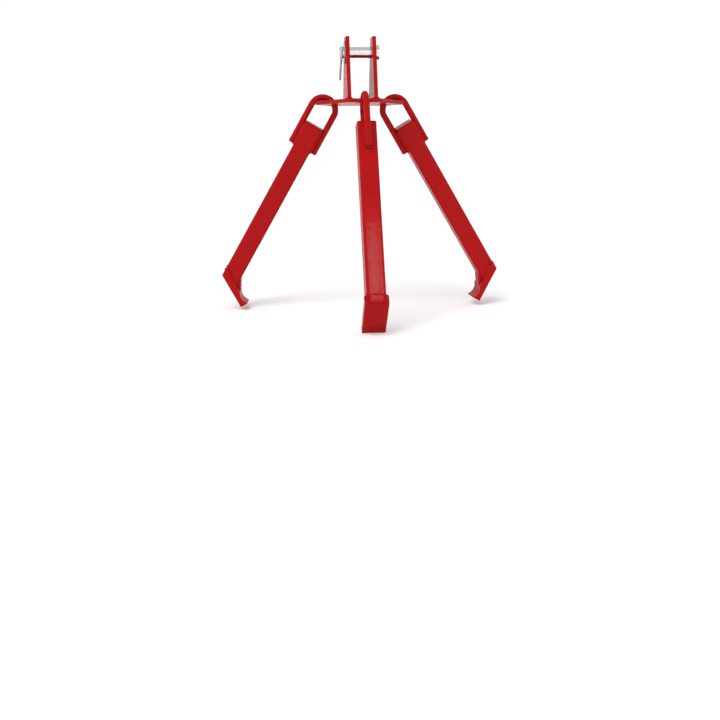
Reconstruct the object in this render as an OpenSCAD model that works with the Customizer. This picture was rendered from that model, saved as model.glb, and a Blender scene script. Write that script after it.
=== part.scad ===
// Three-arm drum lifter: a clevis with a removable pin carries a base plate,
// a triangle with its corners cut off, and three hooked arms hang from the plate on welded round-bar bows.
// Millimetres, +Z up. Origin: centre of the clevis pin. +X runs along the pin
// towards its head, -Y points to the front arm.

/* [Clevis] */
// Diameter of the clevis pin
pin_d = 18; // [14:0.5:22]
// Diameter of the pin's head
head_d = 24; // [23:0.5:32]
// Thickness of the pin's head
head_t = 6.5; // [3:0.5:8]
// Clear gap between the two cheeks
gap = 36; // [30:1:44]
// Thickness of a cheek plate
cheek_t = 6; // [5:0.5:8]
// Depth of a cheek at its top edge
cheek_top = 32; // [28:1:40]
// Depth of a cheek where it meets the base plate
cheek_base = 90; // [70:1:96]
// Height of a cheek above the pin centre
cheek_rise = 24; // [20:0.5:32]
// Distance from the pin centre down to the base plate's upper face
throat = 74.3; // [70:0.1:90]
// Lean of the hanger about the pin as it stands, front edge up
lean = 5; // [0:0.5:10]

/* [Base plate] */
// Thickness of the base plate
plate_t = 6; // [5:0.5:8]
// Distance from the plate's centre to a long edge
plate_edge = 55.5; // [52:0.5:58]
// Distance from the plate's centre to a cut-off corner
plate_cut = 68.5; // [66:0.5:68.5]
// Radius at the plate's corners
plate_r = 3; // [1:0.5:5]
// Radius of the circle through the three hole centres
hole_pcr = 47.5; // [47:0.5:49]
// Diameter of the hole for each bow
hole_d = 23; // [23:0.5:24]

/* [Bows] */
// Diameter of the round bar that the bows are bent from
bar_d = 10; // [9:0.5:10]
// Length of each bow leg that lies on the tube
leg_lap = 42.5; // [30:0.5:60]

/* [Arms] */
// Outside width of the square tube
tube_w = 30; // [30:0.5:32]
// Wall thickness of the square tube
tube_wall = 2; // [2:0.5:4]
// Outside corner radius of the square tube
tube_r = 4; // [3:0.5:6]
// Distance from the swing axis to the tube's capped top end
tube_top = 27; // [26:0.5:40]
// Distance from the swing axis to the outer corner of the foot, along the arm
foot_at = 315; // [280:1:380]
// Thickness of the end cap
cap_t = 2.5; // [2:0.5:4]
// Splay of the left arm as it stands
left_splay = 29.5; // [26:0.1:33]
// Splay of the right arm as it stands
right_splay = 30.8; // [26:0.1:33]
// Splay of the front arm as it stands
front_splay = 23.8; // [22:0.1:30]
// Angle of the left and right arms behind the pin's line, seen from above
side_sweep = 5; // [0:0.5:8]
// Angle of the front arm towards the pin's head, seen from above
front_sweep = 2; // [0:0.1:4]

/* [Feet] */
// Width of the foot bar
foot_w = 37; // [32:0.5:40]
// Thickness of the foot bar
foot_t = 12; // [11:0.5:13]
// Length of the foot's outer face
foot_len = 62; // [58:0.5:70]
// Angle between arm and foot
foot_turn = 58.5; // [56:0.5:64]
// Radius of the rim notch
notch_r = 16.5; // [15:0.5:16.5]
// Depth of the rim notch
notch_depth = 4; // [3:0.5:4]

/* [Clip and washer] */
// Outside diameter of the washer
washer_d = 36; // [32:1:42]
// Thickness of the washer
washer_t = 1.6; // [1.5:0.1:3]
// Wire diameter of the spring clip
wire_d = 3; // [2.5:0.1:3]
// Tilt of the clip's leg away from the cheek
clip_tilt = 4; // [0:0.5:4]

/* [Hidden] */
$fn = 64;

red = [0.72, 0.11, 0.11];
zinc = [0.78, 0.79, 0.80];

// Splay at which an arm's own frame is drawn
draw_splay = 29.5;
// Radial running clearance of the pin in the cheeks, and of the washer on it
run_c = 0.05;
// End play between neighbouring pieces on the pin
play = 0.3;
cheek_in = gap / 2;
cheek_out = cheek_in + cheek_t;
washer_x = -cheek_out - play - washer_t;
clip_x = washer_x - 3.6;
pin_end_x = clip_x - 4.2;
clip_hole_d = wire_d + 2;

plate_mid = -(throat + plate_t / 2);
hole_az = [-90, 30, 150];
// Outward directions of the plate's six edges and their distances from its centre
edge_az = [-90, -30, 30, 90, 150, 210];
edge_at = [plate_cut, plate_edge, plate_cut, plate_edge, plate_cut, plate_edge];
// Point where two lines meet, each given by its outward direction and distance
function meet(a, p, b, q) = [p * sin(b) - q * sin(a), q * cos(a) - p * cos(b)] / sin(b - a);
// From a hole's centre to the swing centre
reach = 17.5;
// Centre of the rounding between two of the plate's edges
function plate_corner(i) = meet(edge_az[i], edge_at[i] - plate_r, edge_az[(i + 1) % 6], edge_at[(i + 1) % 6] - plate_r);
// Point above a swing centre, in the hanger's own upright frame, for a hole at azimuth h and an arm towards azimuth a
function web_mid(h, a) = [hole_pcr * cos(h) + reach * cos(a), hole_pcr * sin(h) + reach * sin(a), plate_mid];
front_az = -90 + front_sweep;
right_az = side_sweep;
left_az = 180 - side_sweep;

// Swing centres with the hanger leaning: each lies below the web, at the centre of its bow's crown
drop = 10.5;
function leaned(p) = [p[0], p[1] * cos(lean) + p[2] * sin(lean), -p[1] * sin(lean) + p[2] * cos(lean)];
front_pivot = leaned(web_mid(-90, front_az)) - [0, 0, drop];
right_pivot = leaned(web_mid(30, right_az)) - [0, 0, drop];
left_pivot = leaned(web_mid(150, left_az)) - [0, 0, drop];

// Arm frame: s outward, z up, swing axis at the origin
half = tube_w / 2;
gap_leg = 0.1;
n_out = half;
n_in = -half;
crown_r = half + bar_d / 2 + gap_leg;
leg_end = tube_top + leg_lap;
ca = cos(draw_splay);
sa = sin(draw_splay);
// Point in the arm frame from distance n out of the tube's line and t down it
function at(n, t) = [n * ca + t * sa, n * sa - t * ca];
bow_b = at(crown_r, (crown_r * sa - crown_r) / ca);
bow_d = at(-crown_r, crown_r * (ca - 1) / sa);
bow_points = [at(crown_r, leg_end), bow_b, [-crown_r, crown_r], bow_d, at(-crown_r, leg_end)];
bow_radii = [0, crown_r, crown_r, 15, 0];

// Foot frame: a runs down the outer face from the corner, b goes inward
foot_corner = at(n_out, foot_at);
foot_tilt = foot_turn - draw_splay;
notch_a = 49.5;
notch_b = foot_t - notch_depth + notch_r;

// ---------- helpers ----------

function unit(v) = v / norm(v);
function ang(v) = atan2(v[1], v[0]);
function turn(u, v) = atan2(u[0] * v[1] - u[1] * v[0], u[0] * v[0] + u[1] * v[1]);
function setback(p, r, i) = r[i] == 0 ? 0 :
    r[i] * tan(abs(turn(p[i] - p[i - 1], p[i + 1] - p[i])) / 2);

// A straight stretch runs this far into a bend, and a bend is this much slimmer
lap = 0.3;
thin = 0.03;

// Straight round bar between two points of the s-z plane
module rod(a, b, d) {
    translate([a[0], 0, a[1]]) rotate([0, 90 - ang(b - a), 0]) cylinder(d = d, h = norm(b - a));
}

// Round bar bent along a path in the s-z plane, with a bend radius per corner
module bent_bar(p, r, d) {
    n = len(p);
    for (i = [0 : n - 2]) {
        u = unit(p[i + 1] - p[i]);
        a = p[i] + u * (i == 0 ? 0 : setback(p, r, i) - lap);
        b = p[i + 1] - u * (i == n - 2 ? 0 : setback(p, r, i + 1) - lap);
        rod(a, b, d);
    }
    for (i = [1 : n - 2]) {
        u = unit(p[i] - p[i - 1]);
        v = unit(p[i + 1] - p[i]);
        w = turn(u, v);
        side = w > 0 ? 1 : -1;
        t1 = p[i] - u * setback(p, r, i);
        t2 = p[i] + v * setback(p, r, i);
        c = t1 + [-u[1], u[0]] * side * r[i];
        translate([c[0], 0, c[1]]) rotate([90, 0, 0])
            rotate([0, 0, w > 0 ? ang(t1 - c) : ang(t2 - c)])
                rotate_extrude(angle = abs(w)) translate([r[i], 0]) circle(d = d - 2 * thin);
    }
}

// Square with round corners
module round_square(w, r) {
    union() {
        square([w - 2 * r, w], center = true);
        square([w, w - 2 * r], center = true);
        for (x = [-1, 1], y = [-1, 1]) translate([x * (w / 2 - r), y * (w / 2 - r)]) circle(r = r);
    }
}

// Quarter-round fillet, flat sides along +x and +y
module fillet_section(r) {
    intersection() { circle(r = r); square(r + 1); }
}

// Flat bead, a circle's segment standing on the y axis, its centre sunk below it
module bead_section(r, sunk) {
    intersection() { translate([-sunk, 0]) circle(r = r); translate([0, -r - 1]) square([r + 1, 2 * r + 2]); }
}

// Frame of the tube: x out of its line, z back up it
module tube_frame() { rotate([0, -draw_splay, 0]) children(); }

// Frame of the foot: x inward from its outer face, z back up it
module foot_frame() {
    translate([foot_corner[0], 0, foot_corner[1]]) rotate([0, foot_tilt, 0]) mirror([1, 0, 0]) children();
}

// Puts the upright hanger into its leaning pose
module hanger() { rotate([-lean, 0, 0]) children(); }

module front_arm() { translate(front_pivot) rotate([0, 0, front_az]) rotate([0, draw_splay - front_splay, 0]) children(); }
module right_arm() { translate(right_pivot) rotate([0, 0, right_az]) rotate([0, draw_splay - right_splay, 0]) children(); }
module left_arm() { translate(left_pivot) rotate([0, 0, left_az]) rotate([0, draw_splay - left_splay, 0]) children(); }

// ---------- pieces that every arm has ----------

// Square tube, cut along the foot bar's inner face at its lower end
module tube_piece() {
    color(red) difference() {
        tube_frame() translate([0, 0, -foot_at - 20]) difference() {
            linear_extrude(height = foot_at + 20 - tube_top - cap_t) round_square(tube_w, tube_r);
            translate([0, 0, -1]) linear_extrude(height = foot_at + 22)
                round_square(tube_w - 2 * tube_wall, tube_r - tube_wall + 0.5);
        }
        foot_frame() translate([-60, -50, -120]) cube([60 + foot_t, 100, 240]);
    }
}

// Flat cap on the tube's top end
module cap_piece() {
    color(red) tube_frame() translate([0, 0, -tube_top - cap_t])
        linear_extrude(height = cap_t) round_square(tube_w, tube_r);
}

// Bow: round bar bent into a closed loop with two legs
module bow_piece() {
    color(red) bent_bar(bow_points, bow_radii, bar_d);
}

// Two weld beads beside a bow leg, in the leg's cross-section
module leg_bead_section() {
    for (y = [-1, 1]) difference() {
        intersection() {
            translate([0, y * (bar_d / 2 + 0.4)]) circle(r = 3);
            translate([0, -10]) square([10, 20]);
        }
        translate([bar_d / 2 + gap_leg, 0]) circle(d = bar_d + 0.02);
    }
}

// Weld beads along both legs of the bow
module bow_weld_piece() {
    color(red) tube_frame() {
        translate([n_out + 0.01, 0, -leg_end + 3]) linear_extrude(height = leg_lap - 8) leg_bead_section();
        translate([n_in - 0.01, 0, -leg_end + 3]) linear_extrude(height = leg_lap - 8) mirror([1, 0]) leg_bead_section();
    }
}

// Foot bar: bevelled flush with the arm's outer face, notched for the rim
module foot_piece() {
    color(red) difference() {
        foot_frame() difference() {
            translate([0, -foot_w / 2, -foot_len]) cube([foot_t, foot_w, foot_len + 40]);
            translate([notch_b, 0, -notch_a]) rotate([90, 0, 0]) cylinder(r = notch_r, h = foot_w + 20, center = true);
        }
        tube_frame() translate([n_out, -50, -foot_at - 100]) cube([100, 100, 300]);
    }
}

// Weld where the tube stands on the foot bar: a bead on each side, one across the outer face and one in the inner corner
module foot_weld_piece() {
    color(red) {
        // side beads, between the tube's rounded corners
        foot_frame() for (m = [0, 1]) mirror([0, m, 0])
            translate([foot_t + 0.01, half + 0.01, -26.4]) linear_extrude(height = 30) fillet_section(2.4);
        // flat bead across the outer face, below the seam
        tube_frame() translate([n_out + 0.01, 0, -foot_at + 9]) rotate([90, 0, 0])
            linear_extrude(height = tube_w - 2 * tube_r, center = true) bead_section(9.6, 8.2);
        // fillet in the corner between the tube's inner face and the bar
        inner_fillet();
    }
}

// Three-sided fillet in the inner corner, between tube face and bar face
module inner_fillet() {
    k = (n_in - n_out) * cos(foot_turn);
    t_in = foot_at + (-k - foot_t) / sin(foot_turn);
    c = at(n_in - 0.01, t_in - 0.02);
    up = at(n_in - 0.01, t_in - 12.5);
    dn = c + 10.2 * [-sin(foot_tilt), -cos(foot_tilt)];
    translate([0, (tube_w - 2 * tube_r) / 2, 0]) rotate([90, 0, 0])
        linear_extrude(height = tube_w - 2 * tube_r) polygon([c, up, dn]);
}

// ---------- the assembly's pieces ----------

module clevis_pin() {
    color(zinc) difference() {
        union() {
            translate([pin_end_x + 1.5, 0, 0]) rotate([0, 90, 0]) cylinder(d = pin_d, h = cheek_out + play + 1 - pin_end_x - 1.5);
            translate([pin_end_x, 0, 0]) rotate([0, 90, 0]) cylinder(d1 = pin_d - 3, d2 = pin_d, h = 1.5);
            translate([cheek_out + play, 0, 0]) rotate([0, 90, 0]) cylinder(d = head_d, h = head_t - 1);
            translate([cheek_out + play + head_t - 1, 0, 0]) rotate([0, 90, 0]) cylinder(d1 = head_d, d2 = head_d - 2, h = 1);
        }
        translate([clip_x, 0, -pin_d]) cylinder(d = clip_hole_d, h = 2 * pin_d);
    }
}

module pin_washer() {
    color(zinc) translate([washer_x, 0, 0]) rotate([0, 90, 0]) difference() {
        cylinder(d = washer_d, h = washer_t);
        translate([0, 0, -1]) cylinder(d = pin_d + 2 * run_c, h = washer_t + 2);
    }
}

// Spring clip: straight leg through the pin, eye below, waved leg in front of the pin
module spring_clip() {
    eye_r = 3.6;
    eye_z = -38;
    color(zinc) translate([clip_x, 0, 0]) rotate([0, clip_tilt, 0]) rotate([0, 0, -90]) {
        bent_bar([[0, 9.5], [0, eye_z - lap]], [0, 0], wire_d);
        translate([eye_r, 0, eye_z]) rotate([90, 0, 0]) rotate([0, 0, 180])
            rotate_extrude(angle = 180) translate([eye_r, 0]) circle(d = wire_d - 2 * thin);
        bent_bar([[2 * eye_r, eye_z - lap], [2 * eye_r, -33], [3.5, -24.5], [3.5, -17], [11.3, -7], [11.3, 2], [13, 9]],
                 [0, 6, 6, 5, 7, 12, 0], wire_d);
    }
}

module cheek(x) {
    color(red) hanger() difference() {
        translate([x, 0, 0]) rotate([90, 0, 90]) linear_extrude(height = cheek_t)
            polygon([[-cheek_base / 2, -throat], [cheek_base / 2, -throat],
                     [cheek_top / 2, cheek_rise], [-cheek_top / 2, cheek_rise]]);
        translate([x - 5, 0, 0]) rotate([0, 90, 0]) cylinder(d = pin_d + 2 * run_c, h = cheek_t + 10);
    }
}

module left_cheek() { cheek(-cheek_out); }
module right_cheek() { cheek(cheek_in); }

// Triangle with cut-off corners, a hole in each corner
module base_plate() {
    color(red) hanger() translate([0, 0, -throat - plate_t]) difference() {
        linear_extrude(height = plate_t) union() {
            polygon([for (i = [0 : 5], j = [0, 1])
                plate_corner(i) + plate_r * [cos(edge_az[(i + j) % 6]), sin(edge_az[(i + j) % 6])]]);
            for (i = [0 : 5]) translate(plate_corner(i)) circle(r = plate_r);
        }
        for (a = hole_az) translate([hole_pcr * cos(a), hole_pcr * sin(a), -1]) cylinder(d = hole_d, h = plate_t + 2);
    }
}

// Fillet welds at the foot of the cheeks, inside and outside
module cheek_welds() {
    len = cheek_base - 4;
    color(red) hanger() for (m = [0, 1]) mirror([m, 0, 0]) translate([0, 0, -throat]) {
        translate([cheek_out, len / 2, 0]) rotate([90, 0, 0]) linear_extrude(height = len) fillet_section(4.5);
        translate([cheek_in, len / 2, 0]) rotate([90, 0, 0]) linear_extrude(height = len) mirror([1, 0]) fillet_section(4.5);
    }
}

module front_arm_tube() { front_arm() tube_piece(); }
module front_tube_cap() { front_arm() cap_piece(); }
module front_bow() { front_arm() bow_piece(); }
module front_bow_welds() { front_arm() bow_weld_piece(); }
module front_foot() { front_arm() foot_piece(); }
module front_foot_weld() { front_arm() foot_weld_piece(); }

module left_arm_tube() { left_arm() tube_piece(); }
module left_tube_cap() { left_arm() cap_piece(); }
module left_bow() { left_arm() bow_piece(); }
module left_bow_welds() { left_arm() bow_weld_piece(); }
module left_foot() { left_arm() foot_piece(); }
module left_foot_weld() { left_arm() foot_weld_piece(); }

module right_arm_tube() { right_arm() tube_piece(); }
module right_tube_cap() { right_arm() cap_piece(); }
module right_bow() { right_arm() bow_piece(); }
module right_bow_welds() { right_arm() bow_weld_piece(); }
module right_foot() { right_arm() foot_piece(); }
module right_foot_weld() { right_arm() foot_weld_piece(); }

clevis_pin();
pin_washer();
spring_clip();
left_cheek();
right_cheek();
base_plate();
cheek_welds();
front_arm_tube();
front_tube_cap();
front_bow();
front_bow_welds();
front_foot();
front_foot_weld();
left_arm_tube();
left_tube_cap();
left_bow();
left_bow_welds();
left_foot();
left_foot_weld();
right_arm_tube();
right_tube_cap();
right_bow();
right_bow_welds();
right_foot();
right_foot_weld();
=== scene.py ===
import math
import random

import bpy
from mathutils import Matrix, Vector
from mathutils.geometry import tessellate_polygon


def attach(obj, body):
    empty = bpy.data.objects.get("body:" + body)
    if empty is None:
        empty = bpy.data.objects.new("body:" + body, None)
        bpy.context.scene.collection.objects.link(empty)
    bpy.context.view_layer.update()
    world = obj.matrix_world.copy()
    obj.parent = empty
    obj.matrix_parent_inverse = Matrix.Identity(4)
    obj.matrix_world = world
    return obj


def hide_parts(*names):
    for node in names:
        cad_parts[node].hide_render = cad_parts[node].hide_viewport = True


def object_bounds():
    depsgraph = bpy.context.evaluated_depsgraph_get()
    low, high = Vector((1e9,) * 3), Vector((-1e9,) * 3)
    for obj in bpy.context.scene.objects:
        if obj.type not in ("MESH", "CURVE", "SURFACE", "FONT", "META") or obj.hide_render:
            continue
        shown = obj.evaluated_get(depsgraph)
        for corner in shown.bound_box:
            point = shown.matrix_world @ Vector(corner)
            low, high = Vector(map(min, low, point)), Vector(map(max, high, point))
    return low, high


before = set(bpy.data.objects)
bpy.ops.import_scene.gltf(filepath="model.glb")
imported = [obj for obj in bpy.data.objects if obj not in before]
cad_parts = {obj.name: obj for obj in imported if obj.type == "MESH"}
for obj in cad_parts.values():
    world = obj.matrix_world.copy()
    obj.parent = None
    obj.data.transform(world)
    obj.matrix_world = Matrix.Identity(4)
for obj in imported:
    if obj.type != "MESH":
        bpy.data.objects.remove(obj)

cad_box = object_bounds()
MM = 0.001
rng = random.Random(461)

# ---------------------------------------------------------------- sizes, in mm, as in the CAD model
LEAN = 5.0
PIN_D, HEAD_D, HEAD_T = 18.0, 24.0, 6.5
GAP, CHEEK_T, CHEEK_TOP, CHEEK_BASE, CHEEK_RISE, THROAT = 36.0, 6.0, 32.0, 90.0, 24.0, 74.3
PLATE_T, PLATE_EDGE, PLATE_CUT, PLATE_R = 6.0, 55.5, 68.5, 3.0
HOLE_PCR, HOLE_D, REACH, DROP = 47.5, 23.0, 17.5, 10.5
BAR_D, LEG_LAP = 10.0, 42.5
TUBE_W, TUBE_WALL, TUBE_R, TUBE_TOP, FOOT_AT, CAP_T = 30.0, 2.0, 4.0, 27.0, 315.0, 2.5
FOOT_W, FOOT_T, FOOT_LEN, FOOT_TURN = 37.0, 12.0, 62.0, 58.5
NOTCH_R, NOTCH_A, NOTCH_DEPTH = 16.5, 49.5, 4.0
WASHER_D, WASHER_T, WIRE_D, CLIP_TILT = 36.0, 1.6, 3.0, 4.0
RUN_C, PLAY, DRAW = 0.05, 0.3, 29.5
HALF = TUBE_W / 2
CHEEK_IN = GAP / 2
CHEEK_OUT = CHEEK_IN + CHEEK_T
WASHER_X = -CHEEK_OUT - PLAY - WASHER_T
CLIP_X = WASHER_X - 3.6
PIN_END_X = CLIP_X - 4.2
CROWN_R = HALF + BAR_D / 2 + 0.1
LEG_END = TUBE_TOP + LEG_LAP


def rot(deg, axis):
    return Matrix.Rotation(math.radians(deg), 4, axis)


def cosd(a):
    return math.cos(math.radians(a))


def sind(a):
    return math.sin(math.radians(a))


HANGER = rot(-LEAN, "X")


def swing_centre(hole_az, az):
    p = Vector((HOLE_PCR * cosd(hole_az) + REACH * cosd(az), HOLE_PCR * sind(hole_az) + REACH * sind(az), -(THROAT + PLATE_T / 2)))
    return HANGER @ p - Vector((0, 0, DROP))


ARMS = {"front": (-90, -88, 23.8), "left": (150, 175, 29.5), "right": (30, 5, 30.8)}


def arm_matrix(name):
    hole_az, az, splay = ARMS[name]
    return Matrix.Translation(swing_centre(hole_az, az)) @ rot(az, "Z") @ rot(DRAW - splay, "Y")


def tube_matrix(name):
    return arm_matrix(name) @ rot(-DRAW, "Y")


# ---------------------------------------------------------------- mesh helpers (all in mm, baked into the row frame in metres)
def make(name, verts, faces, matrix, mat, weighted=True):
    me = bpy.data.meshes.new(name)
    full = Matrix.Scale(MM, 4) @ matrix
    me.from_pydata([full @ Vector(v) for v in verts], [], faces)
    me.validate()
    me.update()
    for p in me.polygons:
        p.use_smooth = True
    ob = bpy.data.objects.new(name, me)
    bpy.context.scene.collection.objects.link(ob)
    me.materials.append(mat)
    fix_normals(me)
    if weighted:
        w = ob.modifiers.new("normals", "WEIGHTED_NORMAL")
        w.mode = "FACE_AREA"
        w.weight = 100
        w.keep_sharp = True
    return ob


def fix_normals(me):
    import bmesh
    bm = bmesh.new()
    bm.from_mesh(me)
    bmesh.ops.remove_doubles(bm, verts=bm.verts, dist=1e-7)
    bmesh.ops.recalc_face_normals(bm, faces=bm.faces)
    bm.to_mesh(me)
    bm.free()
    me.update()


def area2(loop):
    return sum(loop[i - 1][0] * loop[i][1] - loop[i][0] * loop[i - 1][1] for i in range(len(loop)))


def inset(loop, d):
    """Each point of a loop moved d to the left of its direction, mitred."""
    out = []
    n = len(loop)
    for i in range(n):
        a, b, c = Vector(loop[i - 1]), Vector(loop[i]), Vector(loop[(i + 1) % n])
        u, v = (b - a).normalized(), (c - b).normalized()
        nu, nv = Vector((-u.y, u.x)), Vector((-v.y, v.x))
        m = nu + nv
        k = m.dot(nu)
        out.append(b + m * (d / k) if k > 0.2 else b + nu * d)
    return out


def prism_data(loops, thick, edge, segs=4, rows=1):
    """Plate with round rims. First loop is the outline, others are holes, in x-y; the plate lies about z = 0."""
    rings = []
    h = thick / 2
    fixed = []
    for i, lp in enumerate(loops):
        ccw = area2(lp) > 0
        fixed.append(list(lp) if ccw == (i == 0) else list(reversed(lp)))
    levels = []
    for k in range(segs + 1):
        th = math.radians(90 * k / segs)
        levels.append((edge * (1 - math.sin(th)), h - edge * (1 - math.cos(th))))
    for k in range(1, rows):
        levels.append((0.0, (h - edge) * (1 - 2 * k / rows)))
    levels += [(i_, -z_) for i_, z_ in reversed(levels[:segs + 1])]
    verts, faces = [], []
    tops, bottoms = [], []
    for lp in fixed:
        n = len(lp)
        start = len(verts)
        for ins, z in levels:
            verts += [(p[0], p[1], z) for p in inset(lp, ins)]
        for j in range(len(levels) - 1):
            for i in range(n):
                a, b = start + j * n + i, start + j * n + (i + 1) % n
                faces.append((a, b, b + n, a + n))
        tops.append([start + i for i in range(n)])
        bottoms.append([start + (len(levels) - 1) * n + i for i in range(n)])
    for group in (tops, bottoms):
        flat = [i for g in group for i in g]
        tris = tessellate_polygon([[Vector(verts[i]) for i in g] for g in group])
        faces += [tuple(flat[i] for i in t) for t in tris]
    return verts, faces


def circle(cx, cy, r, n=48, a0=0.0, a1=360.0, closed=True):
    m = n if closed else n + 1
    return [(cx + r * cosd(a0 + (a1 - a0) * i / n), cy + r * sind(a0 + (a1 - a0) * i / n)) for i in range(m)]


def round_square(w, r, n=8, flat=0, dish=0.0):
    """Square with round corners; flat adds points along each side, dish hollows the side slightly."""
    pts = []
    h = w / 2 - r
    for cx, cy, a in ((h, h, 0), (-h, h, 90), (-h, -h, 180), (h, -h, 270)):
        pts += circle(cx, cy, r, n, a, a + 90, closed=False)
        for k in range(1, flat + 1):
            u = k / (flat + 1)
            d = w / 2 - dish * 4 * u * (1 - u)
            pts.append((d * cosd(a + 90) - h * (1 - 2 * u) * cosd(a + 180), d * sind(a + 90) - h * (1 - 2 * u) * sind(a + 180)))
    return pts


def lathe_data(profile, segs=96):
    """Profile of (x, r) turned about the x axis; ends at r = 0 close it."""
    verts, faces = [], []
    rows = []
    for x, r in profile:
        if r == 0:
            rows.append([len(verts)])
            verts.append((x, 0, 0))
        else:
            rows.append([len(verts) + i for i in range(segs)])
            verts += [(x, r * math.cos(2 * math.pi * i / segs), r * math.sin(2 * math.pi * i / segs)) for i in range(segs)]
    for a, b in zip(rows, rows[1:]):
        for i in range(segs):
            j = (i + 1) % segs
            if len(a) == 1:
                faces.append((a[0], b[i], b[j]))
            elif len(b) == 1:
                faces.append((a[i], b[0], a[j]))
            else:
                faces.append((a[i], b[i], b[j], a[j]))
    return verts, faces


def round_path(pts, radii, step=0.8):
    """Dense points along a planar path with a bend radius per corner."""
    out = [Vector(pts[0])]
    for i in range(1, len(pts) - 1):
        a, b, c = Vector(pts[i - 1]), Vector(pts[i]), Vector(pts[i + 1])
        u, v = (b - a).normalized(), (c - b).normalized()
        w = math.atan2(u.x * v.y - u.y * v.x, u.dot(v))
        s = radii[i] * math.tan(abs(w) / 2)
        t1 = b - u * s
        side = 1 if w > 0 else -1
        ctr = t1 + Vector((-u.y, u.x)) * side * radii[i]
        n = max(3, int(abs(w) * radii[i] / step))
        lead = (t1 - out[-1]).length
        m = max(1, int(lead / 3))
        prev = out[-1].copy()
        out += [prev.lerp(t1, k / m) for k in range(1, m + 1)] if lead > 1e-6 else []
        for k in range(1, n + 1):
            th = w * k / n
            d = t1 - ctr
            out.append(ctr + Vector((d.x * math.cos(th) - d.y * math.sin(th), d.x * math.sin(th) + d.y * math.cos(th))))
    prev, last = out[-1].copy(), Vector(pts[-1])
    m = max(1, int((last - prev).length / 3))
    out += [prev.lerp(last, k / m) for k in range(1, m + 1)]
    return out


def sweep_data(path, r, segs=24, end=0.6):
    """Round bar along a path in the x-z plane, with chamfered cut ends."""
    n = len(path)
    tang = []
    for i in range(n):
        a, b = path[max(0, i - 1)], path[min(n - 1, i + 1)]
        tang.append((b - a).normalized())
    stations = [(path[0], tang[0], r - end)]
    stations.append((path[0] + tang[0] * end * 0.35, tang[0], r - end * 0.35))
    stations.append((path[0] + tang[0] * end, tang[0], r))
    stations += [(p, t, r) for p, t in zip(path[1:-1], tang[1:-1])]
    stations.append((path[-1] - tang[-1] * end, tang[-1], r))
    stations.append((path[-1] - tang[-1] * end * 0.35, tang[-1], r - end * 0.35))
    stations.append((path[-1], tang[-1], r - end))
    verts, faces = [], []
    for p, t, rr in stations:
        for k in range(segs):
            th = 2 * math.pi * k / segs
            off = Vector((-t.y, t.x)) * (rr * math.cos(th))
            verts.append((p.x + off.x, rr * math.sin(th), p.y + off.y))
    m = len(stations)
    for j in range(m - 1):
        for k in range(segs):
            a, b = j * segs + k, j * segs + (k + 1) % segs
            faces.append((a, b, b + segs, a + segs))
    faces.append(tuple(range(segs)))
    faces.append(tuple(range((m - 1) * segs, m * segs)))
    return verts, faces


def bead_data(a, b, up, r_side, r_up, pitch=2.6, ripple=0.10, sink=0.3, taper=2.5, segs=20, step=0.32):
    """Weld bead from a to b: half-round over the surface whose normal is up, with overlapping ripples and round ends."""
    a, b, up = Vector(a), Vector(b), Vector(up).normalized()
    t = (b - a).normalized()
    up = (up - t * up.dot(t)).normalized()
    side = t.cross(up)
    length = (b - a).length
    n = max(12, int(length / step))
    verts, faces = [], []
    wander = [rng.uniform(-1, 1) for _ in range(int(length / pitch) + 6)]
    phase = rng.random()
    for i in range(n + 1):
        s = length * i / n
        k = min(1.0, s / taper, (length - s) / taper)
        k = math.sqrt(max(0.02, 1 - (1 - k) ** 2))
        for j in range(segs):
            ph = 2 * math.pi * j / segs
            across = math.cos(ph)
            cell = s / pitch + phase + 0.55 * across * across
            f = cell % 1.0
            scale = 1 + ripple * (math.sqrt(max(0.0, 1 - (1 - f) ** 2)) - 0.75)
            w = wander[int(cell) % len(wander)]
            y = across * r_side * k * scale * (1 + 0.05 * w)
            z = math.sin(ph) * k
            z = z * r_up * scale * (1 + 0.06 * w) if z > 0 else max(z * r_up, -sink)
            verts.append(a + t * s + side * y + up * z)
    for i in range(n):
        for j in range(segs):
            p, q = i * segs + j, i * segs + (j + 1) % segs
            faces.append((p, q, q + segs, p + segs))
    faces.append(tuple(range(segs)))
    faces.append(tuple(range(n * segs, (n + 1) * segs)))
    return verts, faces


def drop_data(c, up, r, flat=0.55, segs=14, rings=7):
    """Small round drop of weld spatter on a surface."""
    c, up = Vector(c), Vector(up).normalized()
    x = up.orthogonal().normalized()
    y = up.cross(x)
    verts, faces = [], []
    for i in range(rings + 1):
        th = math.pi * i / rings
        for j in range(segs):
            ph = 2 * math.pi * j / segs
            rr = max(1e-3, math.sin(th)) * r
            verts.append(c + x * rr * math.cos(ph) + y * rr * math.sin(ph) + up * (math.cos(th) * r * flat))
    for i in range(rings):
        for j in range(segs):
            p, q = i * segs + j, i * segs + (j + 1) % segs
            faces.append((p, q, q + segs, p + segs))
    faces.append(tuple(range(segs)))
    faces.append(tuple(range(rings * segs, (rings + 1) * segs)))
    return verts, faces


def join(*parts):
    verts, faces = [], []
    for v, f in parts:
        k = len(verts)
        verts += [tuple(p) for p in v]
        faces += [tuple(i + k for i in q) for q in f]
    return verts, faces


# ---------------------------------------------------------------- materials
def new_material(name):
    m = bpy.data.materials.new(name)
    m.use_nodes = True
    nt = m.node_tree
    bsdf = nt.nodes["Principled BSDF"]
    coord = nt.nodes.new("ShaderNodeTexCoord")
    return m, nt, bsdf, coord.outputs["Object"]


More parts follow.
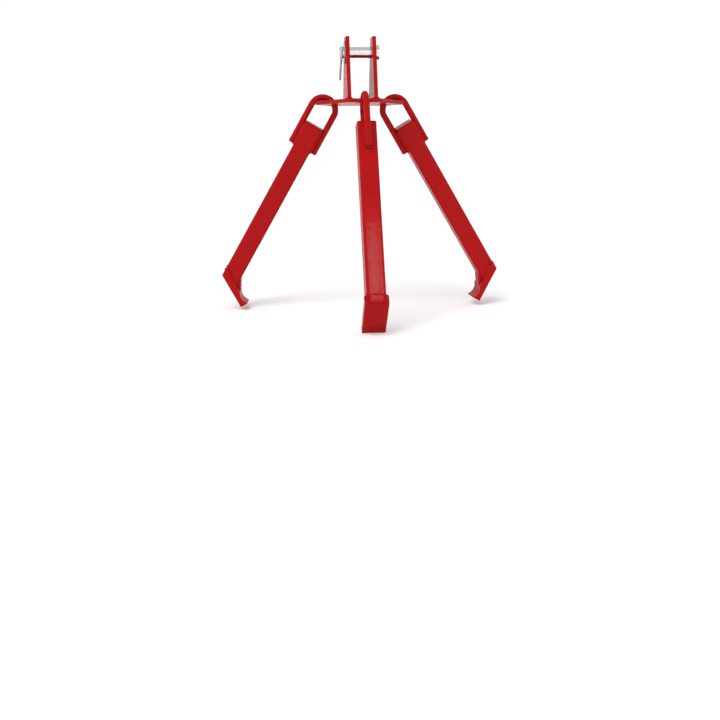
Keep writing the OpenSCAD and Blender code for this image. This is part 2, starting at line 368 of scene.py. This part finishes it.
def noise(nt, vec, scale, detail=3.0, rough=0.5, stretch=None):
    if stretch:
        mp = nt.nodes.new("ShaderNodeMapping")
        mp.inputs["Scale"].default_value = stretch
        nt.links.new(vec, mp.inputs["Vector"])
        vec = mp.outputs["Vector"]
    n = nt.nodes.new("ShaderNodeTexNoise")
    n.inputs["Scale"].default_value = scale
    n.inputs["Detail"].default_value = detail
    n.inputs["Roughness"].default_value = rough
    nt.links.new(vec, n.inputs["Vector"])
    return n.outputs["Fac"]


def ramp(nt, fac, stops):
    r = nt.nodes.new("ShaderNodeValToRGB")
    e = r.color_ramp.elements
    while len(e) < len(stops):
        e.new(0.5)
    for el, (pos, col) in zip(e, stops):
        el.position = pos
        el.color = (*col, 1)
    nt.links.new(fac, r.inputs["Fac"])
    return r.outputs["Color"]


def spread(nt, fac, lo, hi, a=0.3, b=0.7):
    r = nt.nodes.new("ShaderNodeMapRange")
    r.inputs["From Min"].default_value = a
    r.inputs["From Max"].default_value = b
    r.inputs["To Min"].default_value = lo
    r.inputs["To Max"].default_value = hi
    nt.links.new(fac, r.inputs["Value"])
    return r.outputs["Result"]


def bump(nt, height, strength, distance, under=None):
    b = nt.nodes.new("ShaderNodeBump")
    b.inputs["Strength"].default_value = strength
    b.inputs["Distance"].default_value = distance
    nt.links.new(height, b.inputs["Height"])
    if under is not None:
        nt.links.new(under, b.inputs["Normal"])
    return b.outputs["Normal"]


def enamel():
    m, nt, bsdf, obj = new_material("red_enamel")
    tone = noise(nt, obj, 22.0, 3.0)
    col = ramp(nt, tone, [(0.30, (0.326, 0.0032, 0.0038)), (0.50, (0.346, 0.0036, 0.0042)), (0.72, (0.362, 0.0044, 0.0046))])
    nt.links.new(col, bsdf.inputs["Base Color"])
    nt.links.new(spread(nt, noise(nt, obj, 70.0, 4.0), 0.25, 0.33), bsdf.inputs["Roughness"])
    n1 = bump(nt, noise(nt, obj, 95.0, 2.0), 0.10, 0.0010)
    n2 = bump(nt, noise(nt, obj, 520.0, 2.0), 0.06, 0.0004, n1)
    nt.links.new(n2, bsdf.inputs["Normal"])
    nt.links.new(n2, bsdf.inputs["Coat Normal"])
    bsdf.inputs["Specular IOR Level"].default_value = 0.015
    bsdf.inputs["Coat Weight"].default_value = 0.16
    bsdf.inputs["Coat Roughness"].default_value = 0.10
    bsdf.inputs["Coat IOR"].default_value = 1.5
    bsdf.inputs["IOR"].default_value = 1.5
    return m


def zinc(name, base, rough, turned=None, grain=None):
    m, nt, bsdf, obj = new_material(name)
    cloud = noise(nt, obj, 160.0, 3.0)
    col = ramp(nt, cloud, [(0.3, tuple(c * 0.90 for c in base)), (0.55, base), (0.75, (base[0] * 1.03, base[1] * 1.02, base[2] * 0.99))])
    nt.links.new(col, bsdf.inputs["Base Color"])
    bsdf.inputs["Metallic"].default_value = 1.0
    nt.links.new(spread(nt, noise(nt, obj, 420.0, 3.0), *rough), bsdf.inputs["Roughness"])
    normal = None
    if turned:
        normal = bump(nt, noise(nt, obj, 1.0, 2.0, 0.6, stretch=turned), 0.008, 0.0001)
    if grain:
        normal = bump(nt, noise(nt, obj, grain, 3.0), 0.12, 0.0002, normal)
    if normal is not None:
        nt.links.new(normal, bsdf.inputs["Normal"])
    return m


def floor_material():
    m, nt, bsdf, obj = new_material("studio_floor")
    col = ramp(nt, noise(nt, obj, 1.6, 2.0), [(0.3, (0.945, 0.945, 0.947)), (0.7, (0.965, 0.965, 0.965))])
    nt.links.new(col, bsdf.inputs["Base Color"])
    bsdf.inputs["Roughness"].default_value = 0.75
    bsdf.inputs["Specular IOR Level"].default_value = 0.2
    return m


RED = enamel()
PIN_ZINC = zinc("zinc_turned", (0.80, 0.80, 0.81), (0.16, 0.22), turned=(2600, 12, 12))
WASHER_ZINC = zinc("zinc_pressed", (0.47, 0.47, 0.48), (0.24, 0.38), grain=700)
WIRE_ZINC = zinc("zinc_wire", (0.45, 0.45, 0.46), (0.20, 0.30), turned=(1500, 1500, 30))


def place(ob, body, slot, *nodes):
    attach(ob, body)
    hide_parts(*nodes)
    return ob


# ---------------------------------------------------------------- pin, washer and clip
def pin_profile():
    r, x0 = PIN_D / 2, PIN_END_X
    hx = CHEEK_OUT + PLAY
    hr = HEAD_D / 2
    p = [(x0, 0), (x0, r - 2.2), (x0 + 0.15, r - 1.7), (x0 + 1.2, r - 0.35), (x0 + 1.5, r - 0.08), (x0 + 1.9, r)]
    n = 16
    p += [(x0 + 1.9 + (hx - 0.5 - x0 - 1.9) * i / n, r) for i in range(1, n + 1)]
    p += [(hx, r + 0.3), (hx, hr - 0.5), (hx + 0.12, hr - 0.15), (hx + 0.45, hr), (hx + HEAD_T - 1.2, hr), (hx + HEAD_T - 0.85, hr - 0.1), (hx + HEAD_T - 0.15, hr - 0.8), (hx + HEAD_T, hr - 1.3)]
    # shallow turned rings on the head's face
    for k in range(9, 0, -1):
        rr = (hr - 1.8) * k / 9
        p += [(hx + HEAD_T, rr + 0.25), (hx + HEAD_T - 0.06, rr), (hx + HEAD_T, rr - 0.25 if k > 1 else rr * 0.5)]
    p += [(hx + HEAD_T, 0)]
    return p


pin = make("clevis_pin_turned", *lathe_data(pin_profile(), 128), Matrix.Identity(4), PIN_ZINC)
drill = make("drill", *lathe_data([(-PIN_D, 0), (-PIN_D, WIRE_D / 2 + 1), (PIN_D, WIRE_D / 2 + 1), (PIN_D, 0)], 40),
             Matrix.Translation((CLIP_X, 0, 0)) @ rot(90, "Y"), PIN_ZINC, weighted=False)
cut = pin.modifiers.new("hole", "BOOLEAN")
cut.operation = "DIFFERENCE"
cut.solver = "EXACT"
cut.object = drill
pin.modifiers.move(len(pin.modifiers) - 1, 0)
dg = bpy.context.evaluated_depsgraph_get()
bored = bpy.data.meshes.new_from_object(pin.evaluated_get(dg), depsgraph=dg)
pin.modifiers.clear()
pin.data = bored
bored.set_sharp_from_angle(angle=math.radians(32))
bpy.data.objects.remove(drill)
place(pin, "pin", "zinc_plate", "clevis_pin")

wr, wi = WASHER_D / 2, PIN_D / 2 + RUN_C
washer = make("pin_washer_pressed", *prism_data([circle(0, 0, wr, 96), circle(0, 0, wi, 64)], WASHER_T, 0.45, 4),
              Matrix.Translation((WASHER_X + WASHER_T / 2, 0, 0)) @ rot(90, "Y"), WASHER_ZINC)
place(washer, "washer", "zinc_plate", "pin_washer")

EYE_R, EYE_Z = 3.6, -38.0
clip_path = [Vector((0, 9.5)), Vector((0, 6)), Vector((0, 3))] + [Vector((0, -k * 3.0)) for k in range(0, 13)]
clip_path = [p for p in clip_path if p.y > EYE_Z + 0.5]
clip_path += [Vector((EYE_R + EYE_R * cosd(180 + a), EYE_Z + EYE_R * sind(180 + a))) for a in range(0, 181, 12)]
clip_path += round_path([(2 * EYE_R, EYE_Z + 0.6), (2 * EYE_R, -33), (3.5, -24.5), (3.5, -17), (11.3, -7), (11.3, 2), (13, 9)],
                        [0, 6, 6, 5, 7, 12, 0], 0.6)
clip = make("spring_clip_wire", *sweep_data(clip_path, WIRE_D / 2, 20, 0.5),
            Matrix.Translation((CLIP_X, 0, 0)) @ rot(CLIP_TILT, "Y") @ rot(-90, "Z"), WIRE_ZINC, weighted=False)
place(clip, "clip", "spring_wire", "spring_clip")


# ---------------------------------------------------------------- hanger: cheeks, base plate and their welds
def corner_round(loop, r, n=5):
    """Rounds every corner of a loop."""
    out = []
    m = len(loop)
    for i in range(m):
        a, b, c = Vector(loop[i - 1]), Vector(loop[i]), Vector(loop[(i + 1) % m])
        u, v = (b - a).normalized(), (c - b).normalized()
        w = math.atan2(u.x * v.y - u.y * v.x, u.dot(v))
        s = r * math.tan(abs(w) / 2)
        t1 = b - u * s
        ctr = t1 + Vector((-u.y, u.x)) * (1 if w > 0 else -1) * r
        d = t1 - ctr
        for k in range(n + 1):
            th = w * k / n
            out.append((ctr.x + d.x * math.cos(th) - d.y * math.sin(th), ctr.y + d.x * math.sin(th) + d.y * math.cos(th)))
    return out


cheek_loop = corner_round([(-CHEEK_BASE / 2, -THROAT), (CHEEK_BASE / 2, -THROAT), (CHEEK_TOP / 2, CHEEK_RISE), (-CHEEK_TOP / 2, CHEEK_RISE)], 1.0)
for side, x in (("left", -CHEEK_OUT), ("right", CHEEK_IN)):
    m = HANGER @ Matrix.Translation((x + CHEEK_T / 2, 0, 0)) @ rot(90, "Z") @ rot(90, "X")
    ob = make(side + "_cheek_plate", *prism_data([cheek_loop, circle(0, 0, PIN_D / 2 + RUN_C, 64)], CHEEK_T, 0.55, 4), m, RED)
    place(ob, "hanger", "red_enamel", side + "_cheek")

holes = [(HOLE_PCR * cosd(a), HOLE_PCR * sind(a)) for a in (-90, 30, 150)]
edges = [(a, PLATE_CUT if i % 2 == 0 else PLATE_EDGE) for i, a in enumerate((-90, -30, 30, 90, 150, 210))]
corners = []
for (a, p), (b, q) in zip(edges, edges[1:] + edges[:1]):
    corners.append(((p * sind(b) - q * sind(a)) / sind(b - a), (q * cosd(a) - p * cosd(b)) / sind(b - a)))
plate_loop = corner_round(corners, PLATE_R, 6)
plate = make("base_plate_cut", *prism_data([plate_loop] + [circle(hx, hy, HOLE_D / 2, 48) for hx, hy in holes], PLATE_T, 0.7, 4),
             HANGER @ Matrix.Translation((0, 0, -THROAT - PLATE_T / 2)), RED)
place(plate, "hanger", "red_enamel", "base_plate")

beads = []
for s in (-1, 1):
    for x, out in ((CHEEK_OUT, 1), (CHEEK_IN, -1)):
        y = CHEEK_BASE / 2 - 2
        beads.append(bead_data((s * (x + out * 0.9), -y, -THROAT + 0.9), (s * (x + out * 0.9), y, -THROAT + 0.9), (s * out, 0, 1), 3.4, 1.9, 3.4, 0.12, sink=1.2))
welds = make("cheek_weld_beads", *join(*beads), HANGER, RED, weighted=False)
place(welds, "hanger", "red_enamel", "cheek_welds")


# ---------------------------------------------------------------- arms
def foot_at(a, b):
    """Point of the foot in the tube's frame: a down its outer face, b inward from it."""
    return (HALF - a * sind(FOOT_TURN) - b * cosd(FOOT_TURN), -(FOOT_AT + a * cosd(FOOT_TURN) - b * sind(FOOT_TURN)))


def tube_data():
    """Square tube with wall, cut along the foot's inner face at the lower end."""
    def low(n):
        # on the plane b = FOOT_T: n = HALF - a sin - T cos, so a follows from n
        a = (HALF - FOOT_T * cosd(FOOT_TURN) - n) / sind(FOOT_TURN)
        return -(FOOT_AT + a * cosd(FOOT_TURN) - FOOT_T * sind(FOOT_TURN))
    top = -TUBE_TOP - CAP_T
    outer = round_square(TUBE_W, TUBE_R, 8, 9, 0.10)
    inner = round_square(TUBE_W - 2 * TUBE_WALL, TUBE_R - TUBE_WALL + 0.5, 8, 9)
    verts, faces = [], []
    n = len(outer)
    e = 0.35
    rows = [[(x * (1 - e / HALF), y * (1 - e / HALF), top) for x, y in outer], [(x, y, top - e) for x, y in outer]]
    k = 24
    rows += [[(x, y, top - e + (low(x) + e - top + e) * i / k) for x, y in outer] for i in range(1, k + 1)]
    rows += [[(x * (1 - e / HALF), y * (1 - e / HALF), low(x * (1 - e / HALF))) for x, y in outer]]
    rows += [[(x, y, low(x)) for x, y in inner], [(x, y, top) for x, y in inner]]
    for r in rows:
        verts += r
    m = len(rows)
    for j in range(m):
        for i in range(n):
            a, b = j * n + i, j * n + (i + 1) % n
            c, d = ((j + 1) % m) * n + (i + 1) % n, ((j + 1) % m) * n + i
            faces.append((a, b, c, d))
    return verts, faces


def foot_data():
    pts = [foot_at(0, 0), foot_at(FOOT_LEN, 0), foot_at(FOOT_LEN, FOOT_T)]
    off = NOTCH_R - NOTCH_DEPTH
    w = math.degrees(math.asin(off / NOTCH_R))
    arc = [foot_at(NOTCH_A + NOTCH_R * cosd(t), FOOT_T + off + NOTCH_R * sind(t)) for t in [-w - (180 - 2 * w) * i / 20 for i in range(21)]]
    top = foot_at(-FOOT_T * cosd(FOOT_TURN) / sind(FOOT_TURN), FOOT_T)
    loop = pts + arc + [top]
    return prism_data([loop], FOOT_W, 0.7, 4, rows=2)


# the tube's inner corner on the foot bar
IN_A = (TUBE_W - FOOT_T * cosd(FOOT_TURN)) / sind(FOOT_TURN)


def foot_weld_data(side):
    parts = []
    lo, hi = foot_at(IN_A - 2.5, FOOT_T), foot_at(-7.0, FOOT_T)
    for y in (-1, 1):
        parts.append(bead_data((hi[0], y * (HALF + 0.35), hi[1]), (lo[0], y * (HALF + 0.35), lo[1]),
                               Vector((-cosd(FOOT_TURN), y * 1.0, sind(FOOT_TURN))), 2.3, 1.4, 2.6, 0.10, sink=1.0, taper=1.6))
    # flat bead across the outer face, over the seam and below it
    z = -FOOT_AT + (9 if side == "right" else 10)
    wide, high = (6.6, 1.55) if side == "right" else (7.6, 0.50)
    parts.append(bead_data((HALF - 0.25, -HALF + 2, z), (HALF - 0.25, HALF - 2, z), (1, 0, 0), wide, high, 3.2, 0.06, sink=1.0, taper=4.0, segs=32))
    # its ends, run round the tube's corners
    for y in (-1, 1):
        parts.append(drop_data((HALF - 2.4, y * (HALF + 0.5), -FOOT_AT + 12.0), (0.7, y * 0.7, 0.4), 4.4, 0.58, 24, 12))
    if side == "front":
        parts.append(drop_data((HALF - 1.2, HALF + 0.5, -FOOT_AT + 6.5), (1, 1, 0), 4.6, 0.5, 28, 14))
    # deep fillet in the inner corner, with a run of bead over it
    c = Vector(foot_at(IN_A, FOOT_T))
    up = c + Vector((0, 12.5))
    dn = c + Vector((-sind(FOOT_TURN), -cosd(FOOT_TURN))) * 10.2
    core = c + Vector((3.0, -1.0))
    v, f = prism_data([[tuple(core), tuple(dn), tuple(up)]], TUBE_W - 2 * TUBE_R + 1.0, 0.5, 3)
    parts.append(([(x, -zz, y) for x, y, zz in v], f))
    mid, run = (up + dn) / 2, (up - dn).normalized()
    nrm = Vector((-run.y, run.x))
    nrm = nrm if nrm.x < 0 else -nrm
    for k, q in ((-0.30, 3.6), (0.30, 3.6)):
        o = mid + run * (up - dn).length * k - nrm * 0.55
        parts.append(bead_data((o.x, -HALF + 3.4, o.y), (o.x, HALF - 3.4, o.y), (nrm.x, 0, nrm.y), 6.4, 0.95, q, 0.10, sink=0.9))
    return join(*parts)


def bow_weld_data(side):
    parts = []
    for s in (-1, 1):
        for y in (-1, 1):
            x = s * (HALF + 0.9)
            t0, t1 = TUBE_TOP + 4.0, LEG_END - 1.5
            parts.append(bead_data((x, y * 5.4, -t0), (x, y * 5.4, -t1), (s, y * 0.9, 0), 2.7, 1.5, 2.8, 0.12, sink=1.0))
        # closing the leg's cut end
        parts.append(bead_data((s * (HALF + 0.6), -5.4, -LEG_END - 0.2), (s * (HALF + 0.6), 5.4, -LEG_END - 0.2), (s * 0.8, 0, -0.6), 2.2, 1.5, 2.6, 0.10, sink=1.0))
    if side == "front":
        parts.append(drop_data((HALF, 9.2, -LEG_END - 1.0), (1, 0, 0), 1.9, 0.7))
    parts.append(drop_data((HALF, -9.4, -LEG_END - 7.0), (1, 0, 0), 0.7))
    return join(*parts)


BOW = [(CROWN_R * cosd(DRAW) + LEG_END * sind(DRAW), CROWN_R * sind(DRAW) - LEG_END * cosd(DRAW)),
       None, (-CROWN_R, CROWN_R), None,
       (-CROWN_R * cosd(DRAW) + LEG_END * sind(DRAW), -CROWN_R * sind(DRAW) - LEG_END * cosd(DRAW))]


def at(n, t):
    return (n * cosd(DRAW) + t * sind(DRAW), n * sind(DRAW) - t * cosd(DRAW))


BOW[1] = at(CROWN_R, (CROWN_R * sind(DRAW) - CROWN_R) / cosd(DRAW))
BOW[3] = at(-CROWN_R, CROWN_R * (cosd(DRAW) - 1) / sind(DRAW))
bow_path = round_path(BOW, [0, CROWN_R, CROWN_R, 15, 0], 0.9)

for name in ARMS:
    body = "arm_" + name
    arm, tube = arm_matrix(name), tube_matrix(name)
    ob = make(name + "_square_tube", *tube_data(), tube, RED)
    place(ob, body, "red_enamel", name + "_arm_tube")
    ob = make(name + "_end_cap", *prism_data([round_square(TUBE_W, TUBE_R, 8)], CAP_T, 0.8, 4),
              tube @ Matrix.Translation((0, 0, -TUBE_TOP - CAP_T / 2)), RED)
    place(ob, body, "red_enamel", name + "_tube_cap")
    ob = make(name + "_bent_bow", *sweep_data(bow_path, BAR_D / 2, 28, 0.7), arm, RED, weighted=False)
    place(ob, body, "red_enamel", name + "_bow")
    ob = make(name + "_bow_beads", *bow_weld_data(name), tube, RED, weighted=False)
    place(ob, body, "red_enamel", name + "_bow_welds")
    ob = make(name + "_hook_foot", *foot_data(), tube @ rot(90, "X"), RED)
    place(ob, body, "red_enamel", name + "_foot")
    ob = make(name + "_foot_beads", *foot_weld_data(name), tube, RED, weighted=False)
    place(ob, body, "red_enamel", name + "_foot_weld")

# ---------------------------------------------------------------- stage, light and camera
low, high = cad_box
bpy.ops.mesh.primitive_plane_add(size=40, location=(0, 0, low[2] - 0.0005))
floor = bpy.context.object
floor.name = "studio_floor"
floor.data.materials.append(floor_material())

world = bpy.data.worlds.new("studio")
bpy.context.scene.world = world
world.use_nodes = True
world.node_tree.nodes["Background"].inputs["Color"].default_value = (1.0, 1.0, 1.0, 1)
# a bright horizon under a dimmer ceiling
wn = world.node_tree
way = wn.nodes.new("ShaderNodeTexCoord")
part = wn.nodes.new("ShaderNodeSeparateXYZ")
wn.links.new(way.outputs["Generated"], part.inputs["Vector"])
wn.links.new(spread(wn, part.outputs["Z"], 1.04, 0.62, 0.30, 0.80), wn.nodes["Background"].inputs["Strength"])


def softbox(name, loc, target, size, power, size_y=None):
    l = bpy.data.lights.new(name, "AREA")
    l.shape = "RECTANGLE"
    l.size = size
    l.size_y = size_y or size
    l.energy = power
    ob = bpy.data.objects.new(name, l)
    ob.location = loc
    ob.rotation_euler = (Vector(target) - Vector(loc)).to_track_quat("-Z", "Y").to_euler()
    bpy.context.scene.collection.objects.link(ob)
    return ob


sun = bpy.data.lights.new("soft_key", "SUN")
sun.energy = 1.65
sun.angle = math.radians(36)
key = bpy.data.objects.new("soft_key", sun)
key.rotation_euler = (Vector((0.36, 0.47, -0.80))).to_track_quat("-Z", "Y").to_euler()
key.visible_glossy = False
bpy.context.scene.collection.objects.link(key)
softbox("strip", (0.52, -2.5, 1.36), (0, -0.15, -0.33), 0.08, 2.1, 0.5)

cam = bpy.data.cameras.new("photo_camera")
cam.sensor_width = 36.0
cam.sensor_fit = "HORIZONTAL"
cam.lens = 1199.0 / 720.0 * 36.0
cam.dof.use_dof = False
cam.clip_end = 100
camera = bpy.data.objects.new("photo_camera", cam)
camera.location = (-0.188, -1.953, -0.004)
camera.rotation_euler = (math.radians(90 - 14.26), 0, math.radians(-5.5))
bpy.context.scene.collection.objects.link(camera)
bpy.context.scene.camera = camera
bpy.context.scene.view_settings.view_transform = "Standard"
